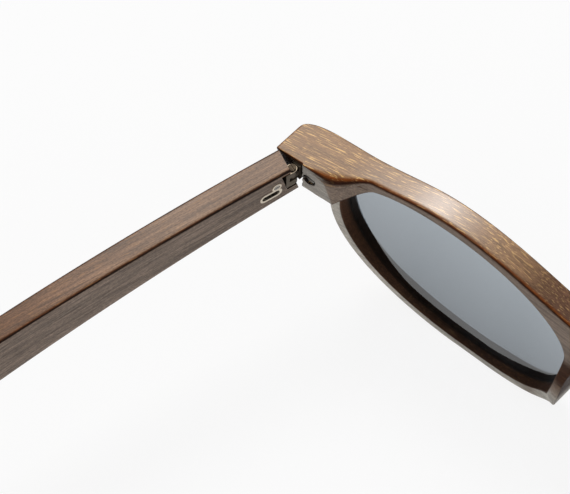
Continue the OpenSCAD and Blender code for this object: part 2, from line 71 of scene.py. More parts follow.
@dataclass(frozen=True)
class Sizes:
    """Sizes in millimetres, with z 0 at the endpieces' tops.

    Most are those of the part's source. From opening_drop on they shape the visual pieces only.
    """

    half_w: float = 71.5
    wrap_r: float = 430.0
    front_t: float = 5.3
    front_depth: float = 15.0
    rim_w: float = 2.5
    endpiece_h: float = 7.6
    endpiece_l: float = 10.3
    step_l: float = 7.7
    side_l: float = 6.4
    edge_r: float = 0.5
    mate_l: float = 6.0
    joint_step: float = 0.3
    rear_turn: float = 7.5
    joint_lean: float = 13.0
    brow_run: float = 22.0
    bridge_dip: float = 2.2
    bridge_h: float = 6.0
    foot: float = 0.1
    corner_l: float = 7.0
    lens_w: float = 50.5
    lens_h: float = 35.8
    lens_lift: float = 0.8
    bridge_w: float = 19.0
    lens_peak: float = 27.5
    lens_low: float = 21.5
    lens_out_drop: float = 13.8
    lens_in_drop: float = 14.8
    lens_t: float = 1.8
    lens_set: float = 1.2
    groove_d: float = 0.9
    nose_w: float = 15.0
    nose_drop: float = 20.0
    pad_h: float = 3.0
    temple_len: float = 134.0
    temple_t: float = 5.2
    ear_t: float = 4.0
    temple_h: float = 7.9
    temple_flare: float = 5.1
    temple_r: float = 720.0
    flex: float = 14.0
    temple_gap: float = 0.8
    end_skew: float = 5.5
    temple_inset: float = 0.5
    pin_in: float = 4.7
    pin_back: float = 0.35
    hinge_drop: float = 3.4
    ear_r: float = 0.95
    wood_gap: float = 0.3
    slide: float = 0.8
    run_gap: float = 0.1
    screw_in: float = 2.9
    screw_drop: float = 0.5
    screw_bore: float = 1.2
    rod_drop: float = 1.5
    plate_l: float = 4.7
    plate_r: float = 1.15
    opening_drop: float = 0.5
    lens_deep: float = 0.25
    lens_nose: float = 0.5
    lens_turn: float = 1.1
    turn_from: float = 44.0
    turn_run: float = 20.0
    nose_from: float = 27.0
    nose_run: float = 13.0
    crease_slope: float = 0.34
    bore_depth: float = 1.05
    pad_low: float = 2.0
    pad_top: float = 12.5

    @property
    def step_x(self) -> float:
        """Where an endpiece's rear face begins to curve into the rim."""
        return self.half_w - self.endpiece_l

    @property
    def mate_x(self) -> float:
        """Inner end of the joint face at an endpiece."""
        return self.half_w - self.mate_l

    @property
    def lens_in_x(self) -> float:
        """Nose side of a lens opening."""
        return self.bridge_w / 2

    @property
    def lens_out_x(self) -> float:
        """Temple side of a lens opening."""
        return self.lens_in_x + self.lens_w

    @property
    def peak_x(self) -> float:
        """Where the brow and the lens opening are highest."""
        return self.lens_in_x + self.lens_peak

    @property
    def low_x(self) -> float:
        """Where the lens opening is lowest."""
        return self.lens_in_x + self.lens_low

    @property
    def out_z(self) -> float:
        """Height of the lens opening's outermost point."""
        return self.lens_lift - self.lens_out_drop

    @property
    def brow_end_x(self) -> float:
        """Outer end of the brow, on the endpiece's top."""
        return self.peak_x + self.brow_run

    @property
    def lens_bot_z(self) -> float:
        """Lowest point of a lens opening."""
        return self.lens_lift - self.lens_h

    @property
    def rim_z(self) -> float:
        """Lowest point of the rims before their flats."""
        return self.lens_bot_z - self.rim_w

    @property
    def brow_z(self) -> float:
        """Highest point of the brow."""
        return self.lens_lift + self.rim_w

    @property
    def rest_z(self) -> float:
        """Plane that the rims and temple tips stand on."""
        return self.rim_z + self.foot

    @property
    def pin_x(self) -> float:
        """Distance of a hinge pin from the middle."""
        return self.half_w - self.pin_in

    @property
    def hinge_z(self) -> float:
        """Height of the hinge's middle."""
        return -self.hinge_drop

    @property
    def rod_z(self) -> float:
        """Height of the hinge's rod and housing."""
        return self.hinge_z - self.rod_drop

    @property
    def notch_end(self) -> float:
        """Rear end of the temple's hinge notch, from the pin."""
        return self.ear_r + 1.5 * self.run_gap + 0.7 + self.slide + 2 * self.run_gap

    @property
    def shift(self) -> Array:
        """Step from these sizes' origin to the row frame's origin."""
        tip_s = self.temple_len + 1.9
        tip_n = self.pin_in - self.temple_inset - tip_s**2 / (2 * self.temple_r) - self.ear_t
        turn = math.radians(self.flex)
        rear = self.pin_back + tip_s * math.cos(turn) - tip_n * math.sin(turn)
        return np.array([0.0, (self.front_depth - rear) / 2, -self.rest_z])


SIZES = Sizes()


def smooth(t: Array) -> Array:
    """Smooth step of t from 0 to 1, held outside that range."""
    c = np.clip(t, 0.0, 1.0)
    return c * c * (3.0 - 2.0 * c)


def mix(a: Array, b: Array, t: Array) -> Array:
    """Straight mix from a to b by t."""
    return a + (b - a) * t


def bezier(points: list[tuple[float, float]], count: int) -> Array:
    """Points of a cubic Bezier curve.

    Args:
        points: its four control points.
        count: number of points along it.

    Returns:
        Array of count rows of two numbers.
    """
    a, b, c, d = (np.array(p, float) for p in points)
    t = np.linspace(0.0, 1.0, count)[:, None]
    return (1 - t) ** 3 * a + 3 * t * (1 - t) ** 2 * b + 3 * t * t * (1 - t) * c + t**3 * d


def srgb(red: float, green: float, blue: float) -> Colour:
    """Linear colour with alpha from 8-bit display values."""
    v = np.array([red, green, blue]) / 255.0
    lin = np.where(v <= 0.04045, v / 12.92, ((v + 0.055) / 1.055) ** 2.4)
    return (float(lin[0]), float(lin[1]), float(lin[2]), 1.0)


def tint(a: Any, b: Any, t: Array) -> Array:
    """Rows of red, green and blue mixed from a to b by t; a and b are colours or rows of them."""
    return mix(np.asarray(a)[..., :3], np.asarray(b)[..., :3], np.asarray(t)[:, None])


@dataclass(frozen=True)
class WoodFinish:
    """Colours of a wooden piece by where its surface faces, and the strength of its grain.

    top_far is the top away from the hinge, darkened as painted shade, and the plainer faces' tone; glow,
    a painted highlight, and edge are the upper and lower part of a rounded edge; rear the rear faces,
    facet the endpiece's rear face and rim the lower rim's rear face, all greyed by painted reflection,
    rim lighter still by painted light; joint a joint face; bore and the deeper bore colour an opening's
    wall, darkened as painted shade.
    """

    name: str
    top: Colour
    top_far: Colour
    glow: Colour
    edge: Colour
    rear: Colour
    facet: Colour
    rim: Colour
    joint: Colour
    bore: Colour
    deep_shade: Colour
    fleck: Colour
    fleck_top: float
    speckle: float
    contrast: float
    roughness: float
    coat: float


@dataclass(frozen=True)
class MetalFinish:
    """Colour and roughness of a metal, and whether painted shade darkens it inside the temple."""

    name: str
    colour: Colour
    roughness: float
    shade_inside: bool = False


class LensOutline:
    """The outline of the left lens opening, from four superellipse quarters."""

    OPENING = (2.25, 2.0, 3.3, 2.1)
    RIM = (2.2, 2.0, 2.5, 2.06)

    def __init__(self, sizes: Sizes) -> None:
        """Keeps the sizes."""
        self.s = sizes

    def power(self, number: int, grow: float) -> float:
        """Exponent n of a quarter, mixed from the opening's to the rim's."""
        return mix(self.OPENING[number - 1], self.RIM[number - 1], grow / self.s.rim_w)

    def quarter(self, number: int, degrees: Array, grow: float) -> Array:
        """Points of one quarter.

        A quarter runs between two extreme points of the opening as cos and sin raised to 2/n. The
        opening comes lower than the rim's even width would let it.

        Args:
            number: 1 temple to top, 2 top to nose, 3 nose to bottom, 4 bottom to temple.
            degrees: how far along the quarter, 0 to 90.
            grow: distance by which the outline is larger than the opening.

        Returns:
            Rows of x and z in millimetres.
        """
        s = self.s
        t = np.radians(degrees)
        n = self.power(number, grow)
        c = np.clip(np.cos(t), 0, 1) ** (2 / n)
        d = np.clip(np.sin(t), 0, 1) ** (2 / n)
        peak, low = s.peak_x, s.low_x
        z_out, z_in = s.out_z, s.lens_lift - s.lens_in_drop
        top = s.lens_lift + grow
        bottom = s.lens_bot_z - mix(s.opening_drop, s.rim_w, grow / s.rim_w)
        nose, temple = s.lens_in_x - grow, s.lens_out_x + grow
        if number == 1:
            return np.stack([peak + (temple - peak) * c, z_out + (top - z_out) * d], 1)
        if number == 2:
            return np.stack([peak - (peak - nose) * d, z_in + (top - z_in) * c], 1)
        if number == 3:
            return np.stack([low - (low - nose) * c, z_in - (z_in - bottom) * d], 1)
        return np.stack([low + (temple - low) * d, z_out - (z_out - bottom) * c], 1)

    def ring(self, count: int, grow: float) -> Array:
        """The whole outline as count times four points, anticlockwise from the temple side."""
        t = np.arange(count) * 90.0 / count
        return np.concatenate([self.quarter(q, t, grow) for q in (1, 2, 3, 4)])


class FrontSurface:
    """Depth of the front's two faces as functions of x and z, in millimetres."""

    def __init__(self, sizes: Sizes) -> None:
        """Keeps the sizes."""
        self.s = sizes

    def wrap(self, x: Array) -> Array:
        """Front of the wrap: a circle of the wrap radius, seen from above."""
        s = self.s
        return -s.front_depth + s.wrap_r - np.sqrt(s.wrap_r**2 - np.asarray(x) ** 2)

    def front(self, p: Array) -> Array:
        """Depth of the front face: the wrap, then a rounded corner at the endpiece.

        Args:
            p: rows of x and z.

        Returns:
            Depth of each row.
        """
        s = self.s
        x = np.minimum(np.abs(p[:, 0]), s.half_w)
        start = s.half_w - s.corner_l
        u = np.sqrt(np.clip((s.half_w - x) / s.corner_l, 0, 1))
        t = 1 - u
        corner = u**2 * self.wrap(start) + 2 * t * u * self.wrap(s.half_w) - t**2 * s.side_l
        return np.where(x > start, corner, self.wrap(x))

    def rear(self, p: Array) -> Array:
        """Depth of the rear face.

        The rim's rear follows the wrap. It steps back to the endpiece in a smooth curve that starts
        further in near the underside, ends below the endpiece in a ledge, leans forward at the
        temple joint, swells at the nose bearing, and has the screw's counterbore cut into it.

        Args:
            p: rows of x and z.

        Returns:
            Depth of each row.
        """
        s = self.s
        x, z = np.abs(p[:, 0]), p[:, 1]
        rim = self.wrap(np.minimum(x, s.half_w)) + s.front_t
        end = -(s.half_w - x) * math.tan(math.radians(s.rear_turn))
        crease = s.step_x + s.crease_slope * np.clip(z, -s.endpiece_h, 0)
        block = mix(end, rim, smooth((crease - x) / s.step_l))
        joint = smooth((x - s.mate_x + 0.1) / 0.2)
        block = block + joint * (z * math.tan(math.radians(s.joint_lean)) - s.joint_step)
        y = mix(rim, block, smooth((z + s.endpiece_h + 0.3) / 0.45))
        inner = 1 - smooth((x - s.lens_in_x + 1.5) / 6.5)
        rise = np.clip((z - s.rim_z - s.pad_low) / (-s.rim_z - s.pad_low - s.pad_top), 0, 1)
        y = y + s.pad_h * inner * np.sin(np.pi * rise) ** 2
        return y - s.bore_depth * (1 - smooth((self.bore_distance(p) - s.screw_bore + 0.1) / 0.2))

    def lens_set(self, x: Array) -> Array:
        """How far the lens lies in from the rim's rear: deeper towards temple and nose, in smooth steps."""
        s, out = self.s, np.abs(x)
        ends = s.lens_turn * smooth((out - s.turn_from) / s.turn_run)
        ends = ends + s.lens_nose * smooth((s.nose_from - out) / s.nose_run)
        return s.lens_set + s.lens_deep + ends

    def bore_distance(self, p: Array) -> Array:
        """Distance of rows of x and z from the axis of the screw's counterbore."""
        s = self.s
        return np.hypot(np.abs(p[:, 0]) - s.pin_x + s.screw_in, p[:, 1] - s.hinge_z + s.screw_drop)


class MeshKit:
    """Makes mesh objects from whole arrays."""

    @staticmethod
    def quads(rows: int, cols: int, wrap_rows: bool, wrap_cols: bool) -> Array:
        """Faces of a grid of rows by cols points.

        Args:
            rows: number of rows.
            cols: number of columns.
            wrap_rows: whether the last row joins the first.
            wrap_cols: whether the last column joins the first.

        Returns:
            Rows of four point numbers.
        """
        r = np.arange(rows if wrap_rows else rows - 1)
        c = np.arange(cols if wrap_cols else cols - 1)
        r, c = (a.ravel() for a in np.meshgrid(r, c, indexing="ij"))
        r2, c2 = (r + 1) % rows, (c + 1) % cols
        return np.stack([r * cols + c, r * cols + c2, r2 * cols + c2, r2 * cols + c], 1)

    @staticmethod
    def outward(points: Array, faces: Array) -> Array:
        """Faces turned so that their enclosed volume is positive."""
        a, b, c = points[faces[:, 0]], points[faces[:, 1]], points[faces[:, 2]]
        d = points[faces[:, 3]]
        volume = np.einsum("ij,ij->", a, np.cross(b, c)) + np.einsum("ij,ij->", a, np.cross(c, d))
        return faces if volume > 0 else faces[:, ::-1]

    @staticmethod
    def make(name: str, points: Array, faces: Array, sharp: float = 35.0) -> bpy.types.Object:
        """A smooth-shaded object at the origin.

        Args:
            name: the object's name.
            points: rows of x, y and z in metres.
            faces: rows of four point numbers; a repeated last number makes a triangle.
            sharp: angle in degrees above which an edge stays sharp.

        Returns:
            The linked object.
        """
        tri = faces[:, 2] == faces[:, 3]
        counts = np.where(tri, 3, 4)
        flat = faces[np.arange(4)[None, :] < counts[:, None]]
        mesh = bpy.data.meshes.new(name)
        mesh.vertices.add(len(points))
        mesh.vertices.foreach_set("co", np.ascontiguousarray(points, np.float32).ravel())
        mesh.loops.add(len(flat))
        mesh.loops.foreach_set("vertex_index", flat.astype(np.int32))
        mesh.polygons.add(len(faces))
        starts = np.concatenate([[0], np.cumsum(counts)[:-1]])
        mesh.polygons.foreach_set("loop_start", starts.astype(np.int32))
        mesh.update(calc_edges=True)
        mesh.validate()
        mesh.shade_smooth()
        mesh.set_sharp_from_angle(angle=math.radians(sharp))
        obj = bpy.data.objects.new(name, mesh)
        bpy.context.scene.collection.objects.link(obj)
        return obj

    @staticmethod
    def attribute(obj: bpy.types.Object, zone: Zone, values: Array) -> None:
        """Writes a point attribute: numbers, or rows of three for a vector."""
        kind, key = ("FLOAT_VECTOR", "vector") if values.ndim == 2 else ("FLOAT", "value")
        attribute = obj.data.attributes.new(zone.value, kind, "POINT")
        attribute.data.foreach_set(key, np.ascontiguousarray(values, np.float32).ravel())

    @staticmethod
    def normals(obj: bpy.types.Object) -> Array:
        """Point normals as rows of three."""
        n = np.zeros(len(obj.data.vertices) * 3, np.float32)
        obj.data.vertices.foreach_get("normal", n)
        return n.reshape(-1, 3)


@dataclass
class FrontPiece:
    """The carved wooden front with both rims, bridge, endpieces and nose bearings.

    END_AT, BRIDGE_AT, NOSE_AT and CHEEK_AT are the degrees along the opening's quarters where the
    columns of the endpiece, the brow, the bridge and the nose end. JOIN_LEAD is how many degrees
    the endpiece's columns start ahead. The sheen is strongest at SHEEN_AT and fades over SHEEN_RUN.
    """

    END_AT, BRIDGE_AT, NOSE_AT, CHEEK_AT = 46.0, 52.0, 66.0, 14.0
    JOIN_LEAD = 2.0
    SHEEN_AT, SHEEN_RUN = 37.0, 20.0

    sizes: Sizes
    finish: WoodFinish
    edge_brow: float = 1.0
    edge_step: float = 2.2
    edge_fine: float = 0.3
    edge_front: float = 0.4

    def columns(self) -> dict[str, Array]:
        """Walks round the left half of the front.

        Each column runs from a point on the lens opening through a gate point to a point on the
        outer outline. The columns of the bridge end on the middle plane and have no outer wall.

        Returns:
            inner, gate and outer points, and wall, 1 where the outer point is on the outline.
        """
        s, lens = self.sizes, LensOutline(self.sizes)
        peak, low, end = s.peak_x, s.low_x, s.brow_end_x
        level = (-s.endpiece_h - s.out_z) / (s.brow_z - s.out_z)
        join = math.degrees(math.asin(level ** (lens.power(1, s.rim_w) / 2)))
        enter = join - self.JOIN_LEAD

        def span(a: float, b: float, count: int) -> Array:
            """Count even steps from a, stopping before b."""
            return a + (b - a) * np.arange(count) / count

        side_t = span(0, join, 24)
        side = lens.quarter(1, side_t, s.rim_w)
        block = self.endpiece_outline(join, 132)
        block_t = span(enter, self.END_AT, len(block))
        brow_x = np.concatenate([span(end, peak, 52), span(peak, 0.0, 64), [0.0]])
        brow = np.stack([brow_x, self.brow(brow_x)], 1)
        out_t = 90 - (90 - self.END_AT) * (np.clip(brow_x, peak, end) - peak) / (end - peak)
        in_t = self.BRIDGE_AT * (peak - np.clip(brow_x, 0, peak)) / peak
        brow_in = np.where((brow_x >= peak)[:, None], lens.quarter(1, out_t, 0), lens.quarter(2, in_t, 0))
        clear = self.edge_brow + 0.05
        arch_z = -s.bridge_dip - s.bridge_h
        mid_z = np.linspace(-s.bridge_dip - clear, arch_z + clear, 12)
        middle = np.stack([np.zeros(12), mid_z], 1)
        turn = np.radians(np.linspace(90, 0, 45)[:-1])
        nose_z = -s.nose_drop + (arch_z + s.nose_drop) * np.sin(turn)
        nose = np.stack([s.nose_w / 2 * np.cos(turn), nose_z], 1)
        nose[0, 0] = 0.0
        f = np.linspace(0, 1, len(nose), endpoint=False)
        upper_t = self.NOSE_AT + (90 - self.NOSE_AT) * np.minimum(f / 0.6, 1)
        lower_t = self.CHEEK_AT * np.clip((f - 0.6) / 0.4, 0, 1)
        nose_in = np.where((f < 0.6)[:, None], lens.quarter(2, upper_t, 0), lens.quarter(3, lower_t, 0))
        cheek_t = span(90, 0, 56)
        c, d = np.cos(np.radians(cheek_t)) ** (2 / 3), np.sin(np.radians(cheek_t)) ** (2 / 3)
        cheek = np.stack([low - (low - s.nose_w / 2) * d, -s.nose_drop + (s.rim_z + s.nose_drop) * c], 1)
        cheek_in = lens.quarter(3, self.CHEEK_AT + (90 - self.CHEEK_AT) * (1 - cheek_t / 90), 0)
        base_t = span(0, 90, 84)
        side_in, block_in = lens.quarter(1, side_t * enter / join, 0), lens.quarter(1, block_t, 0)
        middle_in = lens.quarter(2, np.linspace(self.BRIDGE_AT, self.NOSE_AT, 12), 0)
        inner = np.concatenate([side_in, block_in, brow_in, middle_in, nose_in, cheek_in,
                                lens.quarter(4, base_t, 0)])
        outer = np.concatenate([side, block, brow, middle, nose, cheek, lens.quarter(4, base_t, s.rim_w)])
        outer[:, 1] = np.maximum(outer[:, 1], s.rest_z)
        wall = np.ones(len(outer))
        first = len(side) + len(block) + len(brow)
        wall[first:first + len(middle)] = 0
        gate = (inner + outer) / 2
        a, b = len(side), len(side) + len(block)
        gate[a:b] = lens.quarter(1, block_t, 2.2)
        blend = smooth(np.arange(24) / 24.0)[:, None]
        gate[b:b + 24] = mix(gate[b - 1], gate[b + 24], blend) * 0.5 + 0.5 * gate[b:b + 24]
        return {"inner": inner, "gate": gate, "outer": outer, "wall": wall}

    def brow(self, x: Array) -> Array:
        """Height of the brow: a squared sine up from the bridge and a squared cosine down to the endpiece."""
        s = self.sizes
        peak = s.peak_x
        rise = mix(-s.bridge_dip, s.brow_z, np.sin(np.pi / 2 * np.clip(x / peak, 0, 1)) ** 2)
        fall = s.brow_z * np.cos(np.pi / 2 * np.clip((x - peak) / s.brow_run, 0, 1)) ** 2
        return np.where(x < peak, rise, fall)

    def endpiece_outline(self, join: float, count: int) -> Array:
        """Outline of the endpiece from its underside at the rim round to its top, evenly spaced."""
        s = self.sizes
        start = LensOutline(s).quarter(1, np.array([join]), s.rim_w)[0]
        r = s.edge_r
        t = np.radians(np.arange(0, 91, 10))
        low = np.stack([s.half_w - r + r * np.sin(t), -s.endpiece_h + r - r * np.cos(t)], 1)
        high = np.stack([s.half_w - r + r * np.cos(t), -r + r * np.sin(t)], 1)
        path = np.concatenate([start[None], low, high, [[s.brow_end_x, 0.0]]])
        run = np.concatenate([[0], np.cumsum(np.hypot(*np.diff(path, axis=0).T))])
        at = np.arange(count) * run[-1] / count
        return np.stack([np.interp(at, run, path[:, 0]), np.interp(at, run, path[:, 1])], 1)

    @staticmethod
    def tangent_normals(p: Array) -> Array:
        """Unit normals of a closed line of points, to its right-hand side."""
        d = np.roll(p, -1, 0) - np.roll(p, 1, 0)
        n = np.stack([d[:, 1], -d[:, 0]], 1)
        return n / np.maximum(np.hypot(n[:, 0], n[:, 1]), 1e-9)[:, None]

    def rings(self) -> tuple[Array, int]:
        """All points of the left half, as closed sections round the rim.

        A section runs over the front face, round the outer front edge, along the outer wall, round
        the outer rear edge, over the rear face, and back through the lens opening. Edges are
        quarter circles, large along the brow's rear and small elsewhere.

        Returns:
            Array of rings by columns by x, y and z in millimetres, and the number of the first ring
            in the lens opening.
        """
        s, surface = self.sizes, FrontSurface(self.sizes)
        col = self.columns()
        inner, gate, outer, wall = col["inner"], col["gate"], col["outer"], col["wall"]
        out_n = self.tangent_normals(outer)
        on_middle = (outer[:, 0] < 1e-9) & (wall > 0)
        out_n[on_middle, 0] = 0
        out_n[on_middle] /= np.abs(out_n[on_middle, 1:2])
        in_n = self.tangent_normals(inner)
        above = smooth((outer[:, 1] + s.bridge_dip + 0.6) / 0.5) * smooth((s.mate_x - outer[:, 0]) / 6.5)
        large = mix(self.edge_brow, self.edge_step, smooth((outer[:, 0] - 54.5) / 6.0))
        r_rear = wall * mix(self.edge_fine, large, above)
        r_front = wall * self.edge_front
        r_lens = self.edge_fine
        out: list[Array] = []

        def add(p: Array, y: Array) -> None:
            """Keeps one ring."""
            out.append(np.stack([p[:, 0], y, p[:, 1]], 1))

        lip = inner + r_lens * in_n
        rim_front, rim_rear = outer - r_front[:, None] * out_n, outer - r_rear[:, None] * out_n
        for f in np.linspace(0, 1, 7):
            add(mix(lip, gate, f), surface.front(mix(lip, gate, f)))
        for f in np.linspace(0, 1, 11)[1:]:
            add(mix(gate, rim_front, f), surface.front(mix(gate, rim_front, f)))
        for a in np.radians(np.linspace(0, 90, 6)[1:]):
            p = outer - (r_front * (1 - math.sin(a)))[:, None] * out_n
            add(p, surface.front(p) + r_front * (1 - math.cos(a)))
        front_y, rear_y = surface.front(outer) + r_front, surface.rear(outer) - r_rear
        for f in (0.2, 0.4, 0.6, 0.8):
            add(outer, mix(front_y, rear_y, f))
        for a in np.radians(np.linspace(0, 90, 9)):
            p = outer - (r_rear * (1 - math.cos(a)))[:, None] * out_n
            add(p, surface.rear(p) - r_rear * (1 - math.sin(a)))
        for f in np.linspace(0, 1, 49)[1:]:
            add(mix(rim_rear, gate, f), surface.rear(mix(rim_rear, gate, f)))
        for f in np.linspace(0, 1, 9)[1:]:
            add(mix(gate, lip, f), surface.rear(mix(gate, lip, f)))
        opening_from = len(out)
        for a in np.radians(np.linspace(0, 90, 4)[1:]):
            p = inner + r_lens * (1 - math.sin(a)) * in_n
            add(p, surface.rear(p) - r_lens * (1 - math.cos(a)))
        front_y, rear_y = surface.front(inner) + r_lens, surface.rear(inner) - r_lens
        for f in (0.25, 0.5, 0.75):
            add(inner, mix(rear_y, front_y, f))
        for a in np.radians(np.linspace(0, 90, 4)[:-1]):
            p = inner + r_lens * (1 - math.cos(a)) * in_n
            add(p, surface.front(p) + r_lens * (1 - math.sin(a)))
        return np.stack(out), opening_from

    def tones(self, points: Array, normals: Array, in_opening: Array) -> Array:
        """Base colour of each point.

        The colour goes from the edge's dark brown over its glow, a painted highlight, to the top as the
        normal turns up, and to the rear's colours, greyed by painted reflection, as it turns back. The top
        darkens towards the nose with painted shade. Edges towards the front have no glow, the lower rim is
        lighter with painted light, and the nose bearing is brown with painted shade in its upper part, greyed
        below by painted reflection. The front, outer and lower faces are plain wood. The lens opening's wall
        darkens downwards with painted shade and is darkest beyond the lens, like the counterbore, also
        painted shade.

        Args:
            points: rows of x, y and z in millimetres.
            normals: unit normals of the points.
            in_opening: 1 on the wall of a lens opening.

        Returns:
            Rows of red, green and blue.
        """
        s, f, surface = self.sizes, self.finish, FrontSurface(self.sizes)
        x, z, up, back = np.abs(points[:, 0]), points[:, 2], normals[:, 2], normals[:, 1]
        top = smooth((up - 0.84) / 0.13)
        ahead = smooth((-back - 0.1) / 0.3)
        # Painted highlight: the upper part of a rounded edge glows orange as it faces up, over the wood's own
        # brown.
        colour = tint(f.edge, f.glow, smooth((up - 0.6) / 0.28) * (1 - 0.8 * ahead))
        # Painted shade: the top darkens towards the nose.
        colour = tint(colour, tint(f.top, f.top_far, smooth((30.0 - x) / 18.0)), top)
        crease = s.step_x - 0.1 + s.crease_slope * z
        # Painted reflection: the rear faces are greyed; the lower rim and the nose's foot are lighter still
        # with painted light.
        rear = tint(f.rear, f.facet, smooth((x - crease) / 0.4) * (z > -s.endpiece_h))
        rear = tint(rear, f.rim, smooth((-z - s.endpiece_h - 0.5) / 3.0) * smooth((x - 12.0) / 8.0))
        rear = tint(rear, f.rim, smooth((-z - 21.0) / 4.0) * smooth((16.0 - x) / 4.0))
        # Painted shade on the nose bearing's slope.
        nose = smooth((11.0 - x) / 1.5) * smooth((-z - 13.0) / 2.0) * smooth((z + 21.5) / 3.0)
        rear = tint(rear, tint(f.bore, f.deep_shade, np.full(len(x), 0.35)), nose)
        rear = tint(rear, f.joint, smooth((x - s.mate_x + 0.1) / 0.2))
        facing = back / np.maximum(np.hypot(back, up), 1e-6)
        # The rear's painted reflection goes on where the normal faces back.
        colour = tint(colour, rear, smooth((facing - 0.86) / 0.11) * smooth((back - 0.3) / 0.2) * (1 - top))
        # Painted reflection: the nose's foot is greyed like the endpiece's rear face.
        colour = tint(colour, f.facet, smooth((-z - 22.0) / 3.0) * smooth((10.0 - x) / 1.5))
        plain = tint(f.top_far, f.top, np.full(len(x), 0.55))
        colour = tint(colour, plain, self.away(points, normals))
        flat = points[:, [0, 2]]
        # Painted shade: the counterbore is near black inside.
        counterbore_shade = 1 - smooth((surface.bore_distance(flat) - s.screw_bore - 0.08) / 0.12)
        colour = tint(colour, f.deep_shade, counterbore_shade * (points[:, 1] > surface.front(flat) + 3.0))
        # Painted shade: the lens opening's wall darkens downwards and beyond the lens.
        deep = (surface.wrap(points[:, 0]) + s.front_t - points[:, 1]) / surface.lens_set(x)
        wall = np.maximum(smooth((deep - 0.85) / 0.25), 0.5 * smooth((-z - 12.0) / 18.0))
        return tint(colour, tint(f.bore, f.deep_shade, wall), in_opening)

    @staticmethod
    def away(points: Array, normals: Array) -> Array:
        """1 on the front, outer and lower faces: by the length of the normal's parts that point there."""
        outward = normals[:, 0] * np.sign(points[:, 0])
        parts = [np.minimum(normals[:, 1], 0), np.maximum(outward, 0), np.minimum(normals[:, 2], 0)]
        return smooth((np.sqrt(sum(p * p for p in parts)) - 0.88) / 0.1)

    def grain(self, points: Array) -> Array:
        """Places in the wood, whose grain bends back towards the endpieces and rises with the outer brow."""
        s = self.sizes
        x = np.abs(points[:, 0])
        bend = 1.6 * x**2 / (2 * s.wrap_r)
        rise = self.brow(x) * smooth((x - 18.0) / 14.0)
        return np.stack([points[:, 0], points[:, 1] - bend, points[:, 2] - rise], 1)

    def build(self) -> bpy.types.Object:
        """Mirrors the left half, joins both on the middle plane and makes the object.

        Returns:
            The front, riding on its body.
        """
        rings, opening_from = self.rings()
        count = rings.shape[0] * rings.shape[1]
        left = rings.reshape(-1, 3)
        faces = MeshKit.quads(rings.shape[0], rings.shape[1], True, True)
        middle = np.abs(left[:, 0]) < 1e-7
        faces = faces[~middle[faces].all(1)]
        right = left * np.array([-1.0, 1.0, 1.0])
        number = np.where(middle, np.arange(count), np.arange(count) + count)
        faces = np.concatenate([faces, number[faces][:, ::-1]])
        points = np.concatenate([left, right])
        bore = np.tile((np.arange(count) // rings.shape[1] >= opening_from) * 1.0, 2)
        used, back = np.unique(faces, return_inverse=True)
        points, faces, bore = points[used], back.reshape(-1, 4), bore[used]
        faces = MeshKit.outward(points, faces)
        obj = MeshKit.make("carved_front", (points + self.sizes.shift) * MM, faces)
        n = MeshKit.normals(obj)
        top = smooth((n[:, 2] - 0.7) / 0.2) * (1 - bore)
        across = np.abs(points[:, 0])
        # Coat weight peaks at the brow's top so that the sheen lamp's highlight shows only there: a painted
        # highlight window.
        sheen_window = mix(0.16, 1.0, smooth(1.05 - np.abs(across - self.SHEEN_AT) / self.SHEEN_RUN))
        flecked = top * mix(0.3, 1.0, smooth((across - 16.0) / 20.0))
        MeshKit.attribute(obj, Zone.TOP, np.maximum(flecked, 0.5 * self.away(points, n)))
        MeshKit.attribute(obj, Zone.SHINE, top * sheen_window)
        MeshKit.attribute(obj, Zone.TONE, self.tones(points, n, bore))
        MeshKit.attribute(obj, Zone.GRAIN, self.grain(points))
        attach(obj, "front")
        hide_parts("front_frame")
        return obj


